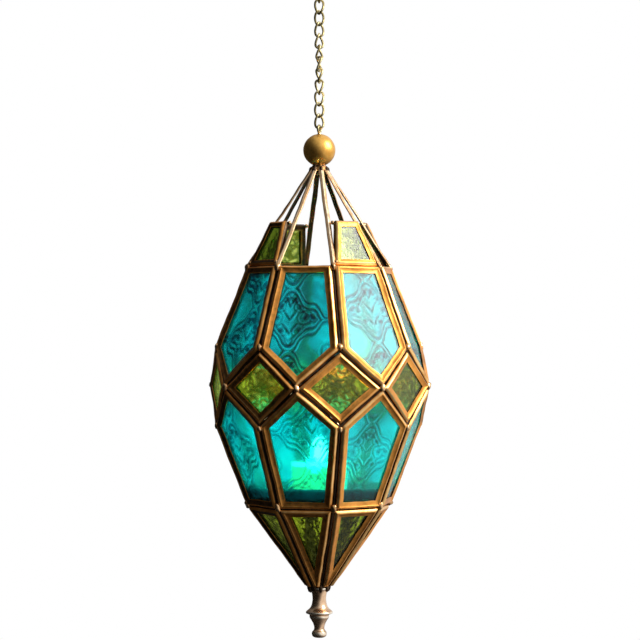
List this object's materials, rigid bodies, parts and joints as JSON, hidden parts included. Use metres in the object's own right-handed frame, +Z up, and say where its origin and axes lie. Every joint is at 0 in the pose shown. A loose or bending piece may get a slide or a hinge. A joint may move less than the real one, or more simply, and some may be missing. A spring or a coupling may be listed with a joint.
{
  "type": "hanging glass lantern",
  "caption": "Faceted hanging candle lantern of coloured panes in folded brass frames, with an open crown, a ball, a twisted chain and a hook.",
  "frame": {"origin": "inside crest of the hook, where it rests on what carries the lantern", "axes": "+Z up along the chain; -Y is the middle of one of the eight sides, with the crown open above it"},
  "size_m": [0.1536, 0.1536, 0.4704],
  "materials": {
    "aged_brass": "folded brass strip with a brown patina, brighter on its edges",
    "ball_gold": "matte antique gold",
    "finial_brass": "worn turned brass",
    "chain_brass": "darkened wire",
    "turquoise_glass": "turquoise glass pressed with scrolls",
    "olive_glass": "olive hammered glass",
    "tray_tin": "dark tin",
    "cup_plastic": "thin clear plastic",
    "wax": "paraffin wax"
  },
  "bodies": {
    "hook": {"top_hook": "chain_brass"},
    "link_01": {"chain_link_01": "chain_brass"},
    "link_02": {"chain_link_02": "chain_brass"},
    "link_03": {"chain_link_03": "chain_brass"},
    "link_04": {"chain_link_04": "chain_brass"},
    "link_05": {"chain_link_05": "chain_brass"},
    "link_06": {"chain_link_06": "chain_brass"},
    "link_07": {"chain_link_07": "chain_brass"},
    "link_08": {"chain_link_08": "chain_brass"},
    "link_09": {"chain_link_09": "chain_brass"},
    "link_10": {"chain_link_10": "chain_brass"},
    "link_11": {"chain_link_11": "chain_brass"},
    "link_12": {"chain_link_12": "chain_brass"},
    "pin": {"eye_pin": "chain_brass"},
    "lantern": {"ball": "ball_gold", "crown": "aged_brass", "upper_frame_ring": "aged_brass", "diamond_frame_ring": "aged_brass", "lower_frame_ring": "aged_brass", "cone_frame_ring": "aged_brass", "finial": "finial_brass", "tray": "tray_tin", "crown_pane_01": "olive_glass", "crown_pane_02": "olive_glass", "crown_pane_03": "olive_glass", "crown_pane_04": "olive_glass", "upper_pane_01": "turquoise_glass", "upper_pane_02": "turquoise_glass", "upper_pane_03": "turquoise_glass", "upper_pane_04": "turquoise_glass", "upper_pane_05": "turquoise_glass", "upper_pane_06": "turquoise_glass", "upper_pane_07": "turquoise_glass", "upper_pane_08": "turquoise_glass", "diamond_pane_01": "olive_glass", "diamond_pane_02": "olive_glass", "diamond_pane_03": "olive_glass", "diamond_pane_04": "olive_glass", "diamond_pane_05": "olive_glass", "diamond_pane_06": "olive_glass", "diamond_pane_07": "olive_glass", "diamond_pane_08": "olive_glass", "lower_pane_01": "turquoise_glass", "lower_pane_02": "turquoise_glass", "lower_pane_03": "turquoise_glass", "lower_pane_04": "turquoise_glass", "lower_pane_05": "turquoise_glass", "lower_pane_06": "turquoise_glass", "lower_pane_07": "turquoise_glass", "lower_pane_08": "turquoise_glass", "cone_pane_01": "olive_glass", "cone_pane_02": "olive_glass", "cone_pane_03": "olive_glass", "cone_pane_04": "olive_glass", "cone_pane_05": "olive_glass", "cone_pane_06": "olive_glass", "cone_pane_07": "olive_glass", "cone_pane_08": "olive_glass"},
    "tea_light": {"candle_cup": "cup_plastic", "candle_wax": "wax"}
  },
  "joints": [
    {"name": "link_01_swing", "type": "hinge", "parent": "hook", "child": "link_01", "pos_m": [0, 0, -0.0286], "axis": [-0.1959, 0.9806, 0], "range_deg": [-20, 20]},
    {"name": "link_02_swing", "type": "hinge", "parent": "link_01", "child": "link_02", "pos_m": [0, 0, -0.03412], "axis": [0.831, 0.5563, 0], "range_deg": [-20, 20]},
    {"name": "link_03_swing", "type": "hinge", "parent": "link_02", "child": "link_03", "pos_m": [0, 0, -0.04378], "axis": [0.5563, -0.831, 0], "range_deg": [-20, 20]},
    {"name": "link_04_swing", "type": "hinge", "parent": "link_03", "child": "link_04", "pos_m": [0, 0, -0.04972], "axis": [0.1942, 0.981, 0], "range_deg": [-20, 20]},
    {"name": "link_05_swing", "type": "hinge", "parent": "link_04", "child": "link_05", "pos_m": [0, 0, -0.05938], "axis": [0.981, -0.1942, 0], "range_deg": [-20, 20]},
    {"name": "link_06_swing", "type": "hinge", "parent": "link_05", "child": "link_06", "pos_m": [0, 0, -0.06532], "axis": [-0.5563, 0.831, 0], "range_deg": [-20, 20]},
    {"name": "link_07_swing", "type": "hinge", "parent": "link_06", "child": "link_07", "pos_m": [0, 0, -0.07498], "axis": [0.831, 0.5563, 0], "range_deg": [-20, 20]},
    {"name": "link_08_swing", "type": "hinge", "parent": "link_07", "child": "link_08", "pos_m": [0, 0, -0.08092], "axis": [-0.981, 0.1942, 0], "range_deg": [-20, 20]},
    {"name": "link_09_swing", "type": "hinge", "parent": "link_08", "child": "link_09", "pos_m": [0, 0, -0.09058], "axis": [0.1942, 0.981, 0], "range_deg": [-20, 20]},
    {"name": "link_10_swing", "type": "hinge", "parent": "link_09", "child": "link_10", "pos_m": [0, 0, -0.09652], "axis": [-0.831, -0.5563, 0], "range_deg": [-20, 20]},
    {"name": "link_11_swing", "type": "hinge", "parent": "link_10", "child": "link_11", "pos_m": [0, 0, -0.10618], "axis": [-0.5563, 0.831, 0], "range_deg": [-20, 20]},
    {"name": "link_12_swing", "type": "hinge", "parent": "link_11", "child": "link_12", "pos_m": [0, 0, -0.11212], "axis": [-0.1942, -0.981, 0], "range_deg": [-20, 20]},
    {"name": "pin_swing", "type": "hinge", "parent": "link_12", "child": "pin", "pos_m": [0, 0, -0.12178], "axis": [-0.981, 0.1942, 0], "range_deg": [-20, 20]},
    {"name": "lantern_turn", "type": "hinge", "parent": "pin", "child": "lantern", "pos_m": [0, 0, -0.1495], "axis": [0, 0, 1], "continuous": true},
    {"name": "tea_light_lift", "type": "slide", "parent": "lantern", "child": "tea_light", "axis": [0, 0, 1], "range_m": [0, 0.1]}
  ]
}
